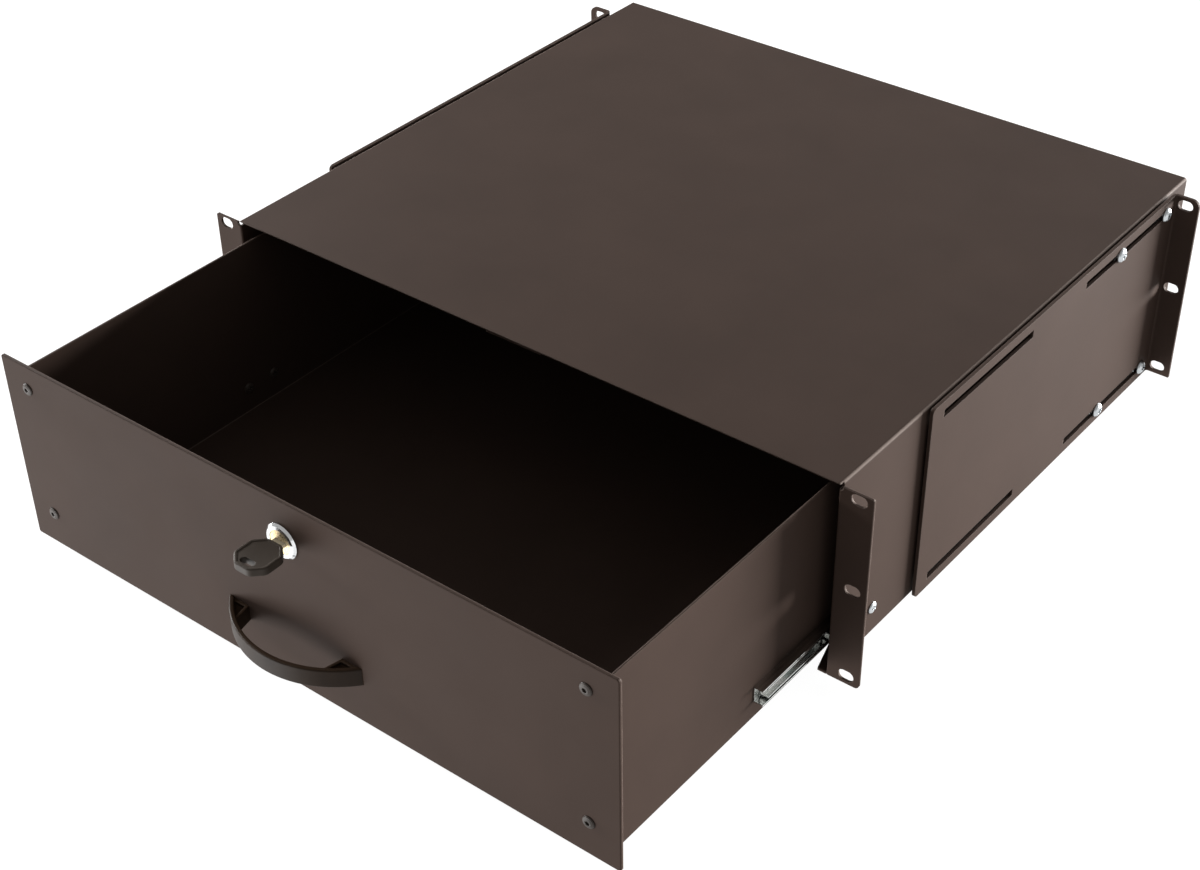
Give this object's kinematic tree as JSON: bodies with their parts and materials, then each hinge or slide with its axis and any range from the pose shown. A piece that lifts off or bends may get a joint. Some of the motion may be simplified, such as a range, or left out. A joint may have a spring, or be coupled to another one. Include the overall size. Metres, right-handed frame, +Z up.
{
  "type": "sliding rack drawer",
  "caption": "Lockable drawer on ball slides in a folded case with slotted front ears and adjustable rear brackets, for mounting in an equipment rack.",
  "frame": {"origin": "Centre of the front ears' slot pattern, on the ears' front plane", "axes": "+X to the right seen from the front, +Y from front to back along the drawer's travel, +Z up"},
  "size_m": [0.4826, 0.6146, 0.132],
  "materials": {
    "case_paint": "fine textured powder coat, near black",
    "drawer_paint": "fine textured powder coat, near black",
    "panel_paint": "fine textured powder coat, near black",
    "bracket_paint": "fine textured powder coat, near black",
    "handle_black": "satin black",
    "black_oxide": "black oxide",
    "bright_zinc": "bright zinc plate",
    "slide_zinc": "bright zinc plate, drawn along its length",
    "plain_steel": "plain",
    "ball_steel": "polished",
    "lock_chrome": "polished",
    "lock_brass": "satin",
    "key_black": "satin"
  },
  "bodies": {
    "case": {"case_shell": "case_paint", "lock_strike": "case_paint", "slide_rail_left": "slide_zinc", "slide_rail_right": "slide_zinc", "rail_screws": "bright_zinc", "bracket_screws": "bright_zinc", "bracket_spacers": "bright_zinc", "bracket_nuts": "plain_steel"},
    "drawer": {"drawer_box": "drawer_paint", "drawer_front_panel": "panel_paint", "panel_screws": "black_oxide", "panel_nuts": "plain_steel", "handle": "handle_black", "handle_screws": "bright_zinc", "lock_body": "lock_chrome", "lock_nut": "bright_zinc", "slide_channel_left": "slide_zinc", "slide_channel_right": "slide_zinc", "channel_screws": "black_oxide"},
    "lock_core": {"lock_plug": "lock_brass", "lock_cam": "bright_zinc", "cam_screw": "bright_zinc"},
    "key": {"key_blade": "plain_steel", "key_bow": "key_black"},
    "bracket_left": {"rear_bracket_left": "bracket_paint"},
    "middle_left": {"slide_middle_left": "slide_zinc"},
    "cage_outer_left": {"ball_cage_outer_left": "plain_steel", "balls_outer_left": "ball_steel"},
    "cage_inner_left": {"ball_cage_inner_left": "plain_steel", "balls_inner_left": "ball_steel"},
    "bracket_right": {"rear_bracket_right": "bracket_paint"},
    "middle_right": {"slide_middle_right": "slide_zinc"},
    "cage_outer_right": {"ball_cage_outer_right": "plain_steel", "balls_outer_right": "ball_steel"},
    "cage_inner_right": {"ball_cage_inner_right": "plain_steel", "balls_inner_right": "ball_steel"}
  },
  "joints": [
    {"name": "drawer_slide", "type": "slide", "parent": "case", "child": "drawer", "axis": [0, -1, 0], "range_m": [-0.1825, 0.1475]},
    {"name": "lock_turn", "type": "hinge", "parent": "drawer", "child": "lock_core", "pos_m": [0, -0.185, 0.039], "axis": [0, -1, 0], "range_deg": [0, 90]},
    {"name": "key_out", "type": "slide", "parent": "lock_core", "child": "key", "axis": [0, -1, 0], "range_m": [0, 0.035]},
    {"name": "bracket_left_adjust", "type": "slide", "parent": "case", "child": "bracket_left", "axis": [0, 1, 0], "range_m": [0, 0.04]},
    {"name": "middle_left_slide", "type": "slide", "parent": "case", "child": "middle_left", "axis": [0, -1, 0], "range_m": [-0.09175, 0.07425]},
    {"name": "cage_outer_left_slide", "type": "slide", "parent": "case", "child": "cage_outer_left", "axis": [0, -1, 0], "range_m": [-0.13737, 0.11113]},
    {"name": "cage_inner_left_slide", "type": "slide", "parent": "case", "child": "cage_inner_left", "axis": [0, -1, 0], "range_m": [-0.04612, 0.03737]},
    {"name": "bracket_right_adjust", "type": "slide", "parent": "case", "child": "bracket_right", "axis": [0, 1, 0], "range_m": [0, 0.04]},
    {"name": "middle_right_slide", "type": "slide", "parent": "case", "child": "middle_right", "axis": [0, -1, 0], "range_m": [-0.09175, 0.07425]},
    {"name": "cage_outer_right_slide", "type": "slide", "parent": "case", "child": "cage_outer_right", "axis": [0, -1, 0], "range_m": [-0.13737, 0.11113]},
    {"name": "cage_inner_right_slide", "type": "slide", "parent": "case", "child": "cage_inner_right", "axis": [0, -1, 0], "range_m": [-0.04612, 0.03737]}
  ],
  "couplings": [
    {"joint": "middle_left_slide", "follows": "drawer_slide", "ratio": 0.5},
    {"joint": "cage_outer_left_slide", "follows": "drawer_slide", "ratio": 0.75},
    {"joint": "cage_inner_left_slide", "follows": "drawer_slide", "ratio": 0.25},
    {"joint": "middle_right_slide", "follows": "drawer_slide", "ratio": 0.5},
    {"joint": "cage_outer_right_slide", "follows": "drawer_slide", "ratio": 0.75},
    {"joint": "cage_inner_right_slide", "follows": "drawer_slide", "ratio": 0.25}
  ]
}
